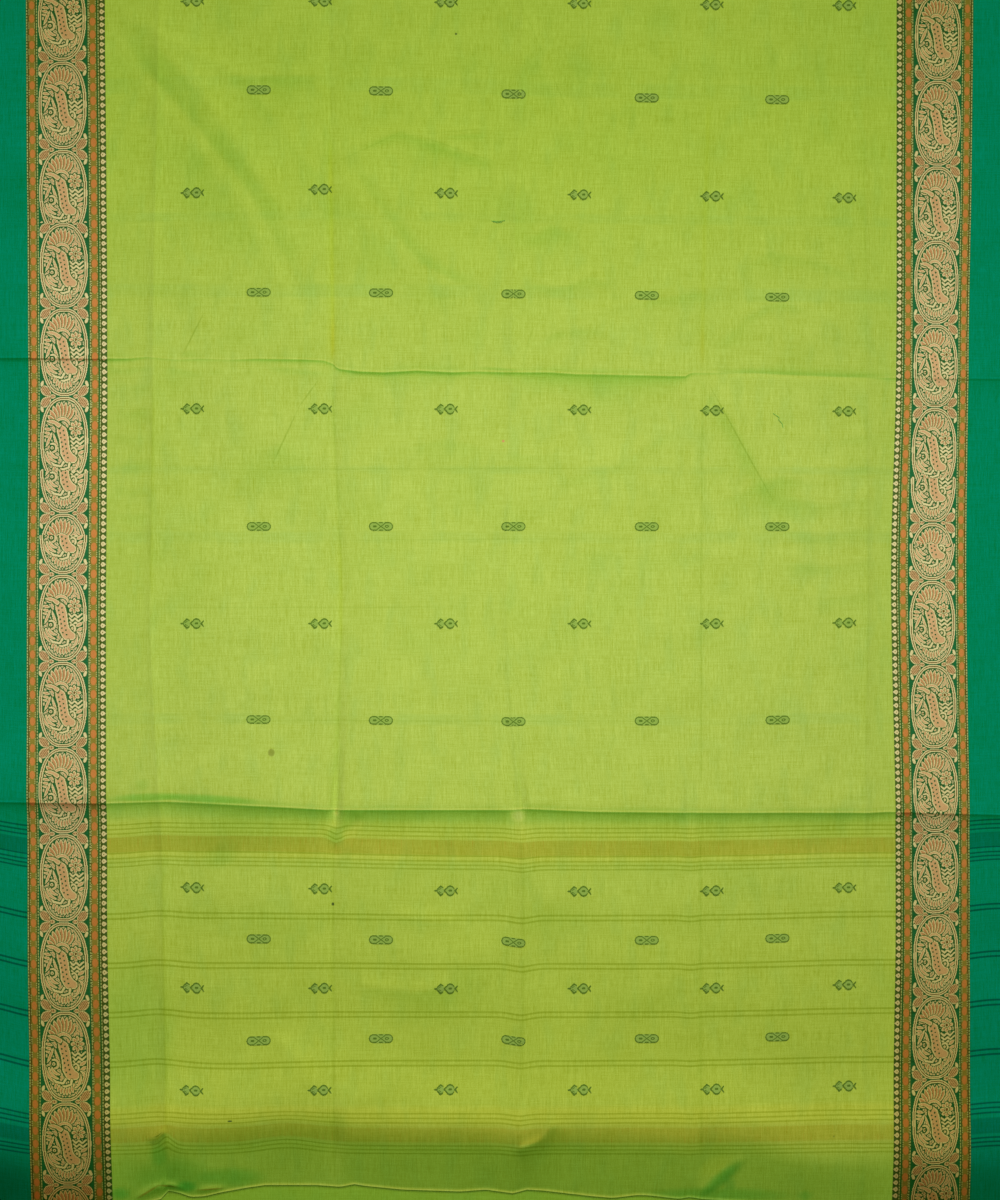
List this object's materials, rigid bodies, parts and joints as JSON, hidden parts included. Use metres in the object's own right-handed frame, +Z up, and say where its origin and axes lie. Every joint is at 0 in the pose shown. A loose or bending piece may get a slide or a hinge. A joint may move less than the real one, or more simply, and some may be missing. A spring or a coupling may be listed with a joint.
{
  "type": "folded cotton sari",
  "caption": "Cotton sari folded back and forth and laid flat, with pressed creases, woven side borders and a striped end uppermost.",
  "frame": {"origin": "centre of the bounding box in X and Y, on the surface the cloth lies on", "axes": "+X across the cloth to the right as seen from above with the striped end towards the viewer, +Y along the cloth from the striped end towards its body, +Z up"},
  "size_m": [1.15, 1.417, 0.0201],
  "materials": {
    "lime_cotton": "matt plain-weave cotton, lime with green selvedges"
  },
  "bodies": {
    "root": {"sari": "lime_cotton"}
  },
  "joints": []
}
